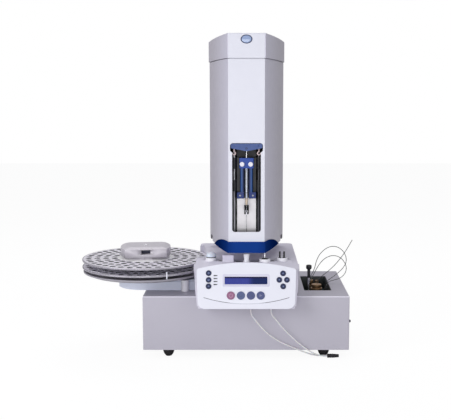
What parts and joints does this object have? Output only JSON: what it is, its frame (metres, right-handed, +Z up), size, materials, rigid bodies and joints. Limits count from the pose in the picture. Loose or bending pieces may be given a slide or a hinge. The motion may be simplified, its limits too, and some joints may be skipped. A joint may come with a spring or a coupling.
{
  "type": "liquid autosampler",
  "caption": "Bench autosampler: a turning needle tower on a keypad base, a lift-off vial carousel on an arm, and a sheet-metal box with an open injection valve bay.",
  "frame": {"origin": "on the bench under the middle of the device, tubing left out", "axes": "+Z up, -Y the side with the keypad and the tower's window, +X towards the valve bay"},
  "size_m": [0.6348, 0.3316, 0.715],
  "materials": {
    "sheet_grey": "fine powder coat, satin",
    "housing_grey": "fine moulded texture",
    "panel_white": "smooth satin",
    "tower_silver": "smooth satin paint",
    "nose_blue": "semi gloss",
    "carriage_blue": "anodised blue",
    "plate_blue": "satin steel blue",
    "arm_blue_grey": "satin paint",
    "tray_dark": "anodised dark grey",
    "tray_grey": "anodised satin",
    "steel": "turned and polished",
    "dark_steel": "blackened",
    "aluminium": "satin",
    "brass": "machined",
    "rubber_black": "moulded",
    "black_plastic": "moulded",
    "white_plastic": "turned",
    "display_glass": "blue backlit display glass",
    "lamp_dark": "unlit lamp windows",
    "button_navy": "soft touch",
    "button_slate": "soft touch",
    "button_rose": "soft touch",
    "barrel_glass": "milky glass barrel",
    "clear_tube": "translucent fluoropolymer"
  },
  "bodies": {
    "base": {"box_cover": "sheet_grey", "box_base": "sheet_grey", "cover_screws": "dark_steel", "rubber_feet": "rubber_black", "power_inlet": "black_plastic", "valve_actuator": "aluminium", "valve_head": "brass", "valve_nuts": "steel", "needle_port": "steel", "port_cap": "black_plastic", "outer_loop": "steel", "inner_loop": "steel", "free_capillary": "steel", "body_housing": "housing_grey", "console_panel": "panel_white", "display": "display_glass", "status_leds": "lamp_dark", "turn_motor": "dark_steel", "station_cups": "white_plastic", "wash_cap": "white_plastic", "reservoir_block": "housing_grey", "wash_funnel": "white_plastic", "station_pins": "black_plastic", "tray_arm": "arm_blue_grey", "support_post": "white_plastic", "drain_tube_left": "clear_tube", "drain_tube_right": "clear_tube", "drain_end": "black_plastic"},
    "tower": {"tower_shell": "tower_silver", "tower_cap": "tower_silver", "tower_nose": "nose_blue", "tower_hub": "aluminium", "back_plate": "aluminium", "guide_rod": "steel", "lift_motor": "dark_steel"},
    "screw": {"lead_screw": "dark_steel"},
    "carriage": {"carriage": "carriage_blue", "clamp_knobs": "white_plastic", "syringe": "barrel_glass", "needle": "steel", "needle_guide": "black_plastic"},
    "plunger": {"plunger_plate": "plate_blue", "plunger_rod": "steel"},
    "spindle": {"spindle": "steel"},
    "tray": {"tray_dish": "tray_dark", "tray_plate_lower": "tray_grey", "tray_plate_upper": "tray_grey", "hub_cover": "aluminium"},
    "button_left_upper": {"button_left_upper": "button_navy"},
    "button_left_middle": {"button_left_middle": "button_navy"},
    "button_left_lower": {"button_left_lower": "button_navy"},
    "button_row_first": {"button_row_first": "button_rose"},
    "button_row_second": {"button_row_second": "button_slate"},
    "button_row_third": {"button_row_third": "button_slate"},
    "button_row_fourth": {"button_row_fourth": "button_slate"},
    "button_pad_up": {"button_pad_up": "button_navy"},
    "button_pad_left": {"button_pad_left": "button_navy"},
    "button_pad_right": {"button_pad_right": "button_navy"},
    "button_pad_down": {"button_pad_down": "button_navy"}
  },
  "joints": [
    {"name": "tower_turn", "type": "hinge", "parent": "base", "child": "tower", "pos_m": [0.07555, 0.02591, 0.221], "axis": [0, 0, 1], "range_deg": [-125, 125]},
    {"name": "carriage_lift", "type": "slide", "parent": "tower", "child": "carriage", "axis": [0, 0, 1], "range_m": [-0.07, 0.012]},
    {"name": "screw_spin", "type": "hinge", "parent": "tower", "child": "screw", "pos_m": [0.10255, -0.11809, 0.248], "axis": [0, 0, 1], "range_deg": [-2600, 500]},
    {"name": "plunger_draw", "type": "slide", "parent": "carriage", "child": "plunger", "axis": [0, 0, 1], "range_m": [0, 0.054]},
    {"name": "tray_spin", "type": "hinge", "parent": "base", "child": "spindle", "pos_m": [-0.16105, 0.00391, 0.166], "axis": [0, 0, 1], "continuous": true},
    {"name": "tray_lift", "type": "slide", "parent": "spindle", "child": "tray", "axis": [0, 0, 1], "range_m": [0, 0.03]},
    {"name": "press_left_upper", "type": "slide", "parent": "base", "child": "button_left_upper", "axis": [0, 0.9563, -0.2924], "range_m": [0, 0.0012], "stiffness_N_per_m": 1200, "springref_m": -0.0003},
    {"name": "press_left_middle", "type": "slide", "parent": "base", "child": "button_left_middle", "axis": [0, 0.9563, -0.2924], "range_m": [0, 0.0012], "stiffness_N_per_m": 1200, "springref_m": -0.0003},
    {"name": "press_left_lower", "type": "slide", "parent": "base", "child": "button_left_lower", "axis": [0, 0.9563, -0.2924], "range_m": [0, 0.0012], "stiffness_N_per_m": 1200, "springref_m": -0.0003},
    {"name": "press_row_first", "type": "slide", "parent": "base", "child": "button_row_first", "axis": [0, 0.9563, -0.2924], "range_m": [0, 0.0012], "stiffness_N_per_m": 1200, "springref_m": -0.0003},
    {"name": "press_row_second", "type": "slide", "parent": "base", "child": "button_row_second", "axis": [0, 0.9563, -0.2924], "range_m": [0, 0.0012], "stiffness_N_per_m": 1200, "springref_m": -0.0003},
    {"name": "press_row_third", "type": "slide", "parent": "base", "child": "button_row_third", "axis": [0, 0.9563, -0.2924], "range_m": [0, 0.0012], "stiffness_N_per_m": 1200, "springref_m": -0.0003},
    {"name": "press_row_fourth", "type": "slide", "parent": "base", "child": "button_row_fourth", "axis": [0, 0.9563, -0.2924], "range_m": [0, 0.0012], "stiffness_N_per_m": 1200, "springref_m": -0.0003},
    {"name": "press_pad_up", "type": "slide", "parent": "base", "child": "button_pad_up", "axis": [0, 0.9563, -0.2924], "range_m": [0, 0.0012], "stiffness_N_per_m": 1200, "springref_m": -0.0003},
    {"name": "press_pad_left", "type": "slide", "parent": "base", "child": "button_pad_left", "axis": [0, 0.9563, -0.2924], "range_m": [0, 0.0012], "stiffness_N_per_m": 1200, "springref_m": -0.0003},
    {"name": "press_pad_right", "type": "slide", "parent": "base", "child": "button_pad_right", "axis": [0, 0.9563, -0.2924], "range_m": [0, 0.0012], "stiffness_N_per_m": 1200, "springref_m": -0.0003},
    {"name": "press_pad_down", "type": "slide", "parent": "base", "child": "button_pad_down", "axis": [0, 0.9563, -0.2924], "range_m": [0, 0.0012], "stiffness_N_per_m": 1200, "springref_m": -0.0003}
  ],
  "couplings": [
    {"joint": "screw_spin", "follows": "carriage_lift", "rad_per_m": 628.32}
  ]
}
